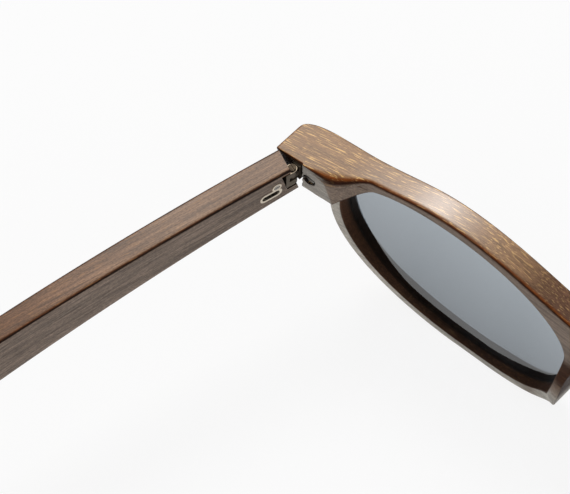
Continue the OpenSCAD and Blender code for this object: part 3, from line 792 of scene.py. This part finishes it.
@dataclass
class TemplePiece:
    """One wooden temple with a flared blade, a bent ear and a notch for the hinge.

    ARC is the number of points on a rounded edge and STRIP the number between the two faces.
    """

    ARC = 6
    STRIP = 6

    sizes: Sizes
    side: Side
    finish: WoodFinish
    edge: float = 0.75

    def side_curves(self) -> tuple[Array, Array]:
        """Upper and lower edges seen from the side.

        Returns:
            Two dense lines of s and z in millimetres, both from the hinge to the tip.
        """
        s = self.sizes
        n, low = s.temple_len, s.rim_z
        flare = math.tan(math.radians(s.temple_flare))

        def lower(x: float) -> tuple[float, float]:
            """Point of the straight lower edge."""
            return (x, -s.temple_h - x * flare)

        top = bezier([(n - 62, 0), (n - 36, 0), (n - 16, -10), (n, low + 10.5)], 200)
        tip = bezier([(n, low + 10.5), (n + 3.6, low + 6.3), (n + 2, low), (n - 4, low)], 200)
        base = bezier([(n - 4, low), (n - 10, low), lower(n - 18), lower(n - 68)], 200)
        far = int(np.argmax(tip[:, 0]))
        upper = np.concatenate([[[-5.0, 0.0]], top, tip[1:far + 1]])
        under = np.concatenate([tip[far:], base[1:], [lower(-5.0)]])[::-1]
        return upper, under

    def thickness(self, s: Array) -> tuple[Array, Array]:
        """Outer and inner faces at s: an arc inwards, and a thickness that tapers to the ear."""
        z = self.sizes
        outer = z.pin_in - z.temple_inset - s**2 / (2 * z.temple_r)
        return outer, outer - mix(z.temple_t, z.ear_t, smooth(s / z.temple_len))

    def window(self, s: Array, z: Array, grow: float = 0.0) -> Array:
        """Whether a place of the inner face lies behind the housing's plate: inside a lying pill."""
        size = self.sizes
        half = size.plate_l / 2 - size.plate_r
        run = np.maximum(np.abs(s - size.notch_end - size.plate_l / 2) - half, 0.0)
        return np.hypot(run, z - size.rod_z) < size.plate_r - 0.25 + grow

    def tones(self, points: Array, up: Array, inward: Array) -> Array:
        """Base colour of each point.

        The top darkens along the temple with painted shade, the rounded edges are dark with a glow near the
        top that is a painted highlight, the inner and outer faces share one colour greyed by painted
        reflection, and the hinge's recess and the inner face behind the housing's window are darkened with
        painted shade.

        Args:
            points: rows of n, s and z in millimetres.
            up: how far each normal points up, -1 to 1.
            inward: how far it points to the wearer's head, -1 to 1.

        Returns:
            Rows of red, green and blue.
        """
        z, f = self.sizes, self.finish
        n, s = points[:, 0], points[:, 1]
        top = smooth((up - 0.86) / 0.1)
        colour = tint(f.top_far, f.edge, smooth((up - 0.02) / 0.15))
        # Painted highlight: the upper part of a rounded edge glows as it faces up.
        colour = tint(colour, f.glow, smooth((up - 0.68) / 0.25))
        # Painted shade: the top darkens along the temple.
        colour = tint(colour, tint(f.top, f.top_far, smooth((s - 15.0) / 65.0)), top)
        # Painted reflection: the inner and outer faces are greyed.
        colour = tint(colour, f.rear, smooth((np.abs(inward) - 0.9) / 0.08))
        # Painted shade: the hinge's recess and the inner face behind the housing's window are darkened.
        recess = smooth((n - self.thickness(s)[1] - 0.2) / 0.3) * (n < z.ear_r + z.wood_gap + 0.3)
        recess = recess * (s < z.notch_end + 0.2) * (1 - top)
        hidden = (n > -0.8) * (n < 2.2) * self.window(s, points[:, 2], 0.1)
        return tint(colour, f.bore, np.maximum(recess, hidden))

    def sections(self) -> tuple[Array, int]:
        """Points of the blade as sections across it.

        Each section goes up the inner face, over the top, down the outer face and back under. The
        edges are rounded, the first sections lean with the joint, and the inner face has
        recesses for the hinge and behind the housing's window.

        Returns:
            Array of sections by points by n, s and z in millimetres, and the number of points up
            a face.
        """
        z, arc = self.sizes, self.ARC
        upper, under = self.side_curves()
        tip = float(upper[-1, 0])
        along = np.concatenate([
            np.linspace(z.temple_gap, z.notch_end - 0.12, 26), [z.notch_end - 0.04, z.notch_end + 0.04],
            np.linspace(z.notch_end + 0.15, 10, 52)[:-1], np.linspace(10, 20, 20)[:-1],
            np.linspace(20, tip - 12, 96)[:-1],
            tip - 12 * (1 - np.sin(np.linspace(0, np.pi / 2, 40)))])
        along[-1] = tip - 0.004
        top = np.interp(along, upper[:, 0], upper[:, 1])
        low = np.maximum(np.interp(along, under[:, 0], under[:, 1]), z.rest_z)
        body = np.sort(np.concatenate([np.linspace(0.1, 0.9, 60), [0.104, 0.725, 0.735]]))
        curve = np.linspace(0, np.pi / 2, arc + 1)[:-1]
        height = (top - low)[:, None]
        r = np.minimum(self.edge, height * 0.3)
        share = np.concatenate([np.zeros(arc), body, np.ones(arc)])[None]
        bend_up, bend_down = r * (1 - np.sin(curve))[None], r * (1 - np.sin(curve[::-1]))[None]
        drop = np.concatenate([r * (1 - np.cos(curve))[None], body[None] * height,
                               height - r * (1 - np.cos(curve[::-1]))[None]], 1)
        inset = np.concatenate([bend_up, np.zeros((len(along), len(body))), bend_down], 1)
        zz = top[:, None] - drop
        lean = math.tan(math.radians(z.joint_lean)) * (1 - smooth((along - z.temple_gap) / 18))
        square = along[:, None] + zz * lean[:, None]
        skew = math.tan(math.radians(z.end_skew)) * (1 - smooth((along - z.temple_gap) / 18))[:, None]
        outer, inner = self.thickness(square)
        s_out, s_in = square - outer * skew, square - inner * skew
        taper = np.sqrt(np.clip((tip + 0.02 - along) / 2.2, 0, 1))
        mid, half = (outer + inner) / 2, (outer - inner) / 2 * np.minimum(1, 0.25 + 0.75 * taper)[:, None]
        outer, inner = mid + half - inset, mid - half + inset
        notch = ((share > 0.102) & (share < 0.73) & (along < z.notch_end)[:, None])
        inner = np.where(notch, np.maximum(inner, z.ear_r + z.wood_gap), inner)
        inner = np.where(self.window(s_in, zz), inner + 2.7, inner)
        up = np.stack([inner[:, ::-1], s_in[:, ::-1], zz[:, ::-1]], 2)
        down = np.stack([outer, s_out, zz], 2)
        f = np.linspace(0, 1, self.STRIP + 2)[1:-1][None, :, None]
        over = mix(up[:, -1:], down[:, :1], f)
        back = mix(down[:, -1:], up[:, :1], f)
        return np.concatenate([up, over, down, back], 1), up.shape[1]

    def build(self) -> bpy.types.Object:
        """Closes both ends with strips, turns the blade by the flex and mirrors the right one.

        Returns:
            The temple, riding on its body.
        """
        z, strip = self.sizes, self.STRIP
        sections, levels = self.sections()
        rows, cols = sections.shape[:2]
        faces = [MeshKit.quads(rows, cols, False, True)]
        blade = sections.reshape(-1, 3)
        extra: list[Array] = []
        start = len(blade)
        for row, flip in ((0, True), (rows - 1, False)):
            up = np.arange(levels)
            opposite = levels + strip + levels - 1 - up
            f = np.linspace(0, 1, strip + 2)[1:-1][None, :, None]
            cap = mix(sections[row][up][:, None], sections[row][opposite][:, None], f).reshape(-1, 3)
            between = start + np.arange(levels * strip).reshape(levels, strip)
            ends = [(row * cols + side)[:, None] for side in (up, opposite)]
            number = np.concatenate([ends[0], between, ends[1]], 1)
            number[0, 1:-1] = row * cols + (cols - 1 - np.arange(strip))
            number[-1, 1:-1] = row * cols + levels + np.arange(strip)
            extra.append(cap)
            start += len(cap)
            grid = MeshKit.quads(levels, strip + 2, False, False)
            cap_faces = number.ravel()[grid]
            faces.append(cap_faces if flip else cap_faces[:, ::-1])
        points = np.concatenate([blade, *extra])
        faces_all = np.concatenate(faces)
        used, back = np.unique(faces_all, return_inverse=True)
        points, faces_all = points[used], back.reshape(-1, 4)
        turn = math.radians(z.flex)
        n, s = points[:, 0], points[:, 1]
        x = z.pin_x + n * math.cos(turn) + s * math.sin(turn)
        y = z.pin_back - n * math.sin(turn) + s * math.cos(turn)
        placed = np.stack([x * self.side.value, y, points[:, 2]], 1)
        faces_all = MeshKit.outward(placed, faces_all)
        obj = MeshKit.make(f"{self.side.word}_temple_blade", (placed + z.shift) * MM, faces_all)
        normal = MeshKit.normals(obj)
        inward = -self.side.value * normal[:, 0] * math.cos(turn) + normal[:, 1] * math.sin(turn)
        top = smooth((normal[:, 2] - 0.7) / 0.2)
        MeshKit.attribute(obj, Zone.TOP, top)
        MeshKit.attribute(obj, Zone.SHINE, top * (1 - 0.8 * smooth((points[:, 1] - 20.0) / 40.0)))
        MeshKit.attribute(obj, Zone.TONE, self.tones(points, normal[:, 2], inward))
        MeshKit.attribute(obj, Zone.GRAIN, points[:, [1, 0, 2]])
        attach(obj, f"{self.side.word}_arm")
        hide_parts(f"{self.side.word}_temple")
        return obj


@dataclass
class LensPiece:
    """One tinted lens that follows the wrap."""

    sizes: Sizes
    side: Side

    def build(self) -> bpy.types.Object:
        """Rings from the middle of the rear face over the edge to the middle of the front face.

        Returns:
            The lens, riding on the front.
        """
        s, surface = self.sizes, FrontSurface(self.sizes)
        outline = LensOutline(s).ring(48, s.groove_d - 0.05)
        centre = outline.mean(0)
        share = np.linspace(0.04, 1, 22)

        def face(p: Array, ahead: float) -> Array:
            """Points of the rear face at 0 or the front face at 1; the lens thins towards both ends."""
            x = p[:, 0]
            depth = mix(surface.lens_set(x), s.lens_set + s.lens_deep + s.lens_t, ahead)
            return np.stack([x, surface.wrap(x) + s.front_t - depth, p[:, 1]], 1)

        flat = [mix(centre, outline, f) for f in share]
        rings = np.stack([face(p, 0.0) for p in flat] + [face(p, 1.0) for p in flat[::-1]])
        rows, cols = rings.shape[:2]
        faces = MeshKit.quads(rows, cols, False, True)
        points = rings.reshape(-1, 3)
        a = np.arange(cols)
        b = (a + 1) % cols
        poles = np.concatenate([face(centre[None], 0.0), face(centre[None], 1.0)])
        n = len(points)
        first = np.stack([b, a, np.full(cols, n), np.full(cols, n)], 1)
        end = (rows - 1) * cols
        last = np.stack([end + a, end + b, np.full(cols, n + 1), np.full(cols, n + 1)], 1)
        points = np.concatenate([points, poles]) * np.array([self.side.value, 1, 1])
        faces_all = np.concatenate([faces, first, last])
        placed = (points + s.shift) * MM
        flipped = MeshKit.outward(points, faces)
        if not np.array_equal(flipped, faces):
            faces_all = np.concatenate([flipped, first[:, [1, 0, 2, 3]], last[:, [1, 0, 2, 3]]])
        obj = MeshKit.make(f"{self.side.word}_lens_glass", placed, faces_all)
        MeshKit.attribute(obj, Zone.GRAIN, points)
        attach(obj, "front")
        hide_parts(f"{self.side.word}_lens")
        return obj


class Graph:
    """Short calls for a node tree."""

    def __init__(self, tree: bpy.types.NodeTree) -> None:
        """Keeps the tree."""
        self.tree = tree

    def node(self, kind: str, inputs: dict[Any, Any] | None = None, **settings: Any) -> bpy.types.Node:
        """Adds a node.

        Args:
            kind: the node's type.
            inputs: socket name or number to a value or an output socket.
            settings: the node's own properties.

        Returns:
            The node.
        """
        made = self.tree.nodes.new(kind)
        for key, value in settings.items():
            setattr(made, key, value)
        for key, value in (inputs or {}).items():
            if isinstance(value, bpy.types.NodeSocket):
                self.tree.links.new(value, made.inputs[key])
            else:
                made.inputs[key].default_value = value
        return made

    def mix_colour(self, factor: Any, a: Any, b: Any, blend: str = "MIX") -> bpy.types.NodeSocket:
        """Mixes two colours and returns the output."""
        made = self.node("ShaderNodeMix", {0: factor, 6: a, 7: b}, data_type="RGBA", blend_type=blend)
        return made.outputs[2]

    def product(self, a: Any, b: Any) -> bpy.types.NodeSocket:
        """Multiplies two values and returns the output."""
        return self.node("ShaderNodeMath", {0: a, 1: b}, operation="MULTIPLY").outputs[0]

    def span(self, value: Any, low: float, high: float, a: float, b: float) -> bpy.types.NodeSocket:
        """Maps value from low..high to a..b, held at the ends."""
        made = self.node("ShaderNodeMapRange", {0: value, 1: low, 2: high, 3: a, 4: b})
        return made.outputs[0]

    def attribute(self, zone: Zone, output: str) -> bpy.types.NodeSocket:
        """An output of a mesh attribute."""
        return self.node("ShaderNodeAttribute", attribute_name=zone.value).outputs[output]


class Finishes:
    """Makes the materials."""

    def __init__(self) -> None:
        """Makes the shared node groups."""
        self.grain = self.grain_group()

    @staticmethod
    def grain_group() -> bpy.types.NodeTree:
        """Wood grain as masks: long fibres, fine lines, short flecks, specks and broad clouds.

        Returns:
            The node group, whose vector input runs along the grain in millimetres.
        """
        tree = bpy.data.node_groups.new("wood_grain", "ShaderNodeTree")
        tree.interface.new_socket("Vector", in_out="INPUT", socket_type="NodeSocketVector")
        for name in ("Fibre", "Line", "Fleck", "Speck", "Cloud"):
            tree.interface.new_socket(name, in_out="OUTPUT", socket_type="NodeSocketFloat")
        g = Graph(tree)
        source = g.node("NodeGroupInput").outputs[0]
        sink = g.node("NodeGroupOutput")
        for name, scale, detail, low, high in (
            ("Fibre", (0.07, 1.5, 1.5), 5.0, 0.32, 0.68),
            ("Line", (0.03, 5.0, 5.0), 3.0, 0.38, 0.66),
            ("Fleck", (0.36, 4.8, 4.8), 1.5, 0.59, 0.65),
            ("Speck", (1.8, 5.0, 5.0), 2.0, 0.3, 0.7),
            ("Cloud", (0.035, 0.16, 0.16), 2.0, 0.3, 0.7),
        ):
            scaled = g.node("ShaderNodeVectorMath", {0: source, 1: scale}, operation="MULTIPLY").outputs[0]
            noise = g.node("ShaderNodeTexNoise", {"Vector": scaled, "Scale": 1.0, "Detail": detail})
            tree.links.new(g.span(noise.outputs[0], low, high, 0.0, 1.0), sink.inputs[name])
        return tree

    def wood(self, finish: WoodFinish) -> bpy.types.Material:
        """A varnished wood with grain and flecks over the mesh's own tones, which hold painted highlights,
        reflections and shade.

        Args:
            finish: its colours.

        Returns:
            The material.
        """
        mat = bpy.data.materials.new(finish.name)
        mat.use_nodes = True
        g = Graph(mat.node_tree)
        shader = mat.node_tree.nodes["Principled BSDF"]
        grain = g.node("ShaderNodeGroup", node_tree=self.grain)
        mat.node_tree.links.new(g.attribute(Zone.GRAIN, "Vector"), grain.inputs[0])
        fibre, line, fleck = (grain.outputs[n] for n in ("Fibre", "Line", "Fleck"))
        shade = g.product(g.span(fibre, 0, 1, 1 - 1.2 * finish.contrast, 1 + 0.8 * finish.contrast),
                          g.span(grain.outputs["Cloud"], 0, 1, 0.88, 1.12))
        shade = g.product(shade, g.span(line, 0, 1, 0.78, 1.14))
        shade = g.product(shade, g.span(grain.outputs["Speck"], 0, 1, 1 - finish.speckle, 1 + finish.speckle))
        tone = g.node("ShaderNodeCombineColor", {0: shade, 1: shade, 2: shade}).outputs[0]
        base = g.mix_colour(1.0, g.attribute(Zone.TONE, "Color"), tone, "MULTIPLY")
        top = g.attribute(Zone.TOP, "Fac")
        amount = g.product(fleck, g.span(top, 0, 1, 0.05, finish.fleck_top))
        amount = g.product(amount, g.span(grain.outputs["Cloud"], 0, 1, 0.45, 1.0))
        base = g.mix_colour(amount, base, finish.fleck)
        mat.node_tree.links.new(base, shader.inputs["Base Color"])
        shine = g.span(g.attribute(Zone.SHINE, "Fac"), 0, 1, 0.02, finish.coat)
        mat.node_tree.links.new(shine, shader.inputs["Coat Weight"])
        mat.node_tree.links.new(g.span(fibre, 0, 1, finish.roughness - 0.06, finish.roughness + 0.08),
                                shader.inputs["Roughness"])
        bump = g.node("ShaderNodeBump", {"Strength": 0.35, "Distance": 0.00006, "Height": line})
        mat.node_tree.links.new(bump.outputs[0], shader.inputs["Normal"])
        shader.inputs["Specular IOR Level"].default_value = 0.05
        shader.inputs["Coat Roughness"].default_value = 0.4
        return mat

    @staticmethod
    def temple_depth(g: Graph, place: bpy.types.NodeSocket) -> bpy.types.NodeSocket:
        """How deep a place lies in a temple: 0 at the inner face, 1 from 0.5 mm in.

        Args:
            g: the material's graph.
            place: position in metres.

        Returns:
            The mask's output.
        """
        s, turn = SIZES, math.radians(SIZES.flex)
        split = g.node("ShaderNodeSeparateXYZ", {0: place})
        across = g.node("ShaderNodeMath", {0: split.outputs[0]}, operation="ABSOLUTE").outputs[0]
        across = g.product(across, math.cos(turn))
        along = g.product(split.outputs[1], -math.sin(turn))
        depth = g.node("ShaderNodeMath", {0: across, 1: along}, operation="ADD").outputs[0]
        pin = s.pin_x * math.cos(turn) - (s.pin_back + s.shift[1]) * math.sin(turn)
        face = pin + s.pin_in - s.temple_inset - s.temple_t
        return g.span(depth, (face + 0.15) * MM, (face + 0.5) * MM, 0.0, 1.0)

    def metal(self, finish: MetalFinish) -> bpy.types.Material:
        """A satin metal with fine uneven roughness.

        Args:
            finish: its colour and roughness.

        Returns:
            The material.
        """
        mat = bpy.data.materials.new(finish.name)
        mat.use_nodes = True
        g = Graph(mat.node_tree)
        shader = mat.node_tree.nodes["Principled BSDF"]
        place = g.node("ShaderNodeTexCoord").outputs["Object"]
        fine = {0: place, 1: (900.0, 900.0, 4000.0)}
        scaled = g.node("ShaderNodeVectorMath", fine, operation="MULTIPLY").outputs[0]
        noise = g.node("ShaderNodeTexNoise", {"Vector": scaled, "Scale": 1.0, "Detail": 3.0}).outputs[0]
        dark = tuple(c * 0.82 for c in finish.colour[:3]) + (1.0,)
        base = g.mix_colour(noise, dark, finish.colour)
        # Painted shade: the housing turns near black deeper inside the temple.
        if finish.shade_inside:
            base = g.mix_colour(self.temple_depth(g, place), base, srgb(16, 13, 11))
        mat.node_tree.links.new(base, shader.inputs["Base Color"])
        mat.node_tree.links.new(g.span(noise, 0.3, 0.7, finish.roughness - 0.08, finish.roughness + 0.1),
                                shader.inputs["Roughness"])
        shader.inputs["Metallic"].default_value = 1.0
        return mat

    @staticmethod
    def lens() -> bpy.types.Material:
        """Grey tinted glass, a little lighter towards the top.

        Returns:
            The material.
        """
        mat = bpy.data.materials.new("lens_tint")
        mat.use_nodes = True
        g = Graph(mat.node_tree)
        shader = mat.node_tree.nodes["Principled BSDF"]
        split = g.node("ShaderNodeSeparateXYZ", {0: g.attribute(Zone.GRAIN, "Vector")})
        up = g.span(split.outputs[2], -36.0, 1.0, 0.0, 1.0)
        colour = g.mix_colour(up, srgb(94, 102, 110), srgb(146, 155, 162))
        mat.node_tree.links.new(colour, shader.inputs["Base Color"])
        shader.inputs["Transmission Weight"].default_value = 1.0
        shader.inputs["Roughness"].default_value = 0.02
        shader.inputs["IOR"].default_value = 1.5
        return mat


class Studio:
    """Floor, lights, world and camera.

    The camera's places are in millimetres in the sizes' own frame, the lamps' in metres.
    """

    IMAGE_W, SENSOR_MM, FOCAL_PX = 570.0, 36.0, 2517.9
    CAMERA_AT = (-92.42, 169.98, 389.07)
    CAMERA_TO = (61.756, 7.512, -15.0)
    KEY_AT = (0.47, -0.36, 0.71)
    FILL_AT = (-0.5, 0.35, 0.6)
    LAMPS_TO = (0.04, -0.06, 0.02)
    FLOOR_HALF = 3.0

    def __init__(self, sizes: Sizes) -> None:
        """Keeps the sizes."""
        self.s = sizes

    @staticmethod
    def shown(g: Graph) -> bpy.types.NodeSocket:
        """1 for rays that show the background: from the camera, in a reflection or through glass."""
        path = g.node("ShaderNodeLightPath")
        first = g.node("ShaderNodeMath", {0: path.outputs["Is Camera Ray"], 1: path.outputs["Is Glossy Ray"]},
                       operation="MAXIMUM").outputs[0]
        return g.node("ShaderNodeMath", {0: first, 1: path.outputs["Is Transmission Ray"]},
                      operation="MAXIMUM").outputs[0]

    def floor(self) -> bpy.types.Object:
        """A plain white floor that keeps soft shadows.

        Returns:
            The floor.
        """
        half = self.FLOOR_HALF
        p = np.array([[-half, -half, 0], [half, -half, 0], [half, half, 0], [-half, half, 0]])
        obj = MeshKit.make("studio_floor", p, np.array([[0, 1, 2, 3]]))
        mat = bpy.data.materials.new("studio_floor")
        mat.use_nodes = True
        g = Graph(mat.node_tree)
        mat.node_tree.nodes.remove(mat.node_tree.nodes["Principled BSDF"])
        matt = g.node("ShaderNodeBsdfDiffuse", {"Color": (0.9, 0.9, 0.9, 1.0)})
        glow = g.node("ShaderNodeEmission", {"Color": (1, 1, 1, 1), "Strength": 1.0})
        amount = g.span(self.shown(g), 0, 1, 0.0, 0.86)
        both = g.node("ShaderNodeMixShader", {0: amount, 1: matt.outputs[0], 2: glow.outputs[0]})
        out = mat.node_tree.nodes["Material Output"]
        mat.node_tree.links.new(both.outputs[0], out.inputs["Surface"])
        obj.data.materials.append(mat)
        return obj

    def world(self) -> None:
        """An even white surround."""
        world = bpy.data.worlds.new("studio")
        bpy.context.scene.world = world
        world.use_nodes = True
        g = Graph(world.node_tree)
        background = world.node_tree.nodes["Background"]
        background.inputs["Color"].default_value = (1, 1, 1, 1)
        strength = g.span(self.shown(g), 0, 1, 0.55, 1.0)
        world.node_tree.links.new(strength, background.inputs["Strength"])

    def lamp(self, name: str, place: tuple[float, float, float], size: float, power: float,
             sheen: bool = False) -> None:
        """A square lamp that faces the hinge corner.

        Args:
            name: its name.
            place: where it is, in metres.
            size: its side in metres.
            power: its power in watts.
            sheen: whether it is hidden from diffuse light.
        """
        data = bpy.data.lights.new(name, "AREA")
        data.size = size
        data.energy = power
        obj = bpy.data.objects.new(name, data)
        obj.visible_diffuse = not sheen
        obj.location = place
        aim = Vector(self.LAMPS_TO) - obj.location
        obj.rotation_euler = aim.to_track_quat("-Z", "Y").to_euler()
        bpy.context.scene.collection.objects.link(obj)

    def camera(self) -> None:
        """The photograph's camera, high behind the wearer's right shoulder."""
        data = bpy.data.cameras.new("photo_camera")
        data.sensor_fit = "HORIZONTAL"
        data.sensor_width = self.SENSOR_MM
        data.lens = self.FOCAL_PX * self.SENSOR_MM / self.IMAGE_W
        data.clip_start = 0.01
        obj = bpy.data.objects.new("photo_camera", data)
        place = (np.array(self.CAMERA_AT) + self.s.shift) * MM
        target = (np.array(self.CAMERA_TO) + self.s.shift) * MM
        obj.location = Vector(place)
        obj.rotation_euler = (Vector(target) - Vector(place)).to_track_quat("-Z", "Y").to_euler()
        bpy.context.scene.collection.objects.link(obj)
        bpy.context.scene.camera = obj

    def build(self) -> None:
        """Makes the whole studio."""
        bpy.context.scene.view_settings.view_transform = "Standard"
        self.floor()
        self.world()
        self.lamp("key", self.KEY_AT, 0.3, 2.8)
        self.lamp("sheen", self.KEY_AT, 0.42, 13.0, sheen=True)
        self.lamp("fill", self.FILL_AT, 0.8, 0.6)
        self.camera()


# Painted light in these colours: glow is a painted highlight, rear, facet and rim are greyed by painted
# reflection (rim lighter still by painted light), top_far and the bore colours are painted shade.
FRONT_WOOD = WoodFinish(
    name="front_wood",
    top=srgb(158, 122, 88),
    top_far=srgb(98, 68, 50),
    glow=srgb(134, 70, 22),
    edge=srgb(48, 22, 10),
    rear=srgb(136, 120, 108),
    facet=srgb(166, 160, 152),
    rim=srgb(192, 186, 176),
    joint=srgb(72, 44, 28),
    bore=srgb(84, 57, 42),
    deep_shade=srgb(10, 8, 6),
    fleck=srgb(252, 204, 132),
    fleck_top=0.9,
    speckle=0.2,
    contrast=0.2,
    roughness=0.45,
    coat=0.8,
)
TEMPLE_WOOD = WoodFinish(
    name="temple_wood",
    top=srgb(146, 118, 96),
    top_far=srgb(108, 74, 52),
    glow=srgb(92, 52, 28),
    edge=srgb(30, 16, 9),
    rear=srgb(138, 122, 110),
    facet=srgb(138, 122, 110),
    rim=srgb(138, 122, 110),
    joint=srgb(48, 34, 26),
    bore=srgb(30, 22, 16),
    deep_shade=srgb(14, 11, 9),
    fleck=srgb(198, 146, 96),
    fleck_top=0.35,
    speckle=0.3,
    contrast=0.34,
    roughness=0.5,
    coat=0.1,
)
# Painted shade: the hinge and pin metals are darkened so the hinge's slot reads dark; the hinge's bronze is
# partly its own colour.
HINGE_METAL = MetalFinish("hinge_metal", srgb(100, 90, 77), 0.5)
PIN_METAL = MetalFinish("pin_metal", srgb(50, 43, 35), 0.62)
HOUSING_METAL = MetalFinish("housing_metal", srgb(206, 194, 176), 0.32, shade_inside=True)
SCREW_METAL = MetalFinish("screw_metal", srgb(158, 154, 148), 0.35)
SPRING_METAL = MetalFinish("spring_metal", srgb(170, 170, 170), 0.3)


def dress_nodes(finishes: Finishes) -> None:
    """Gives the hinge nodes their metals.

    Args:
        finishes: maker of the materials.
    """
    metals = {
        "hinge_plate": finishes.metal(HINGE_METAL),
        "hinge_slider": finishes.metal(HINGE_METAL),
        "slider_collar": finishes.metal(HINGE_METAL),
        "hinge_housing": finishes.metal(HOUSING_METAL),
        "plate_screw": finishes.metal(SCREW_METAL),
        "hinge_pin": finishes.metal(PIN_METAL),
        "housing_screw": finishes.metal(SCREW_METAL),
        "hinge_spring": finishes.metal(SPRING_METAL),
    }
    for side in Side:
        for word, metal in metals.items():
            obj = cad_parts[f"{side.word}_{word}"]
            obj.data.materials.clear()
            obj.data.materials.append(metal)
            LOG.info("dressed %s", obj.name)


def main() -> None:
    """Builds the pieces, the materials and the studio."""
    logging.basicConfig(level=logging.INFO)
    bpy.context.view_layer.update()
    finishes = Finishes()
    front = FrontPiece(SIZES, FRONT_WOOD).build()
    front.data.materials.append(finishes.wood(FRONT_WOOD))
    LOG.info("built %s", front.name)
    temple_wood, glass = finishes.wood(TEMPLE_WOOD), finishes.lens()
    for side in Side:
        temple = TemplePiece(SIZES, side, TEMPLE_WOOD)
        for piece, material in ((temple, temple_wood), (LensPiece(SIZES, side), glass)):
            obj = piece.build()
            obj.data.materials.append(material)
            LOG.info("built %s", obj.name)
    dress_nodes(finishes)
    Studio(SIZES).build()


if __name__ == "__main__":
    main()
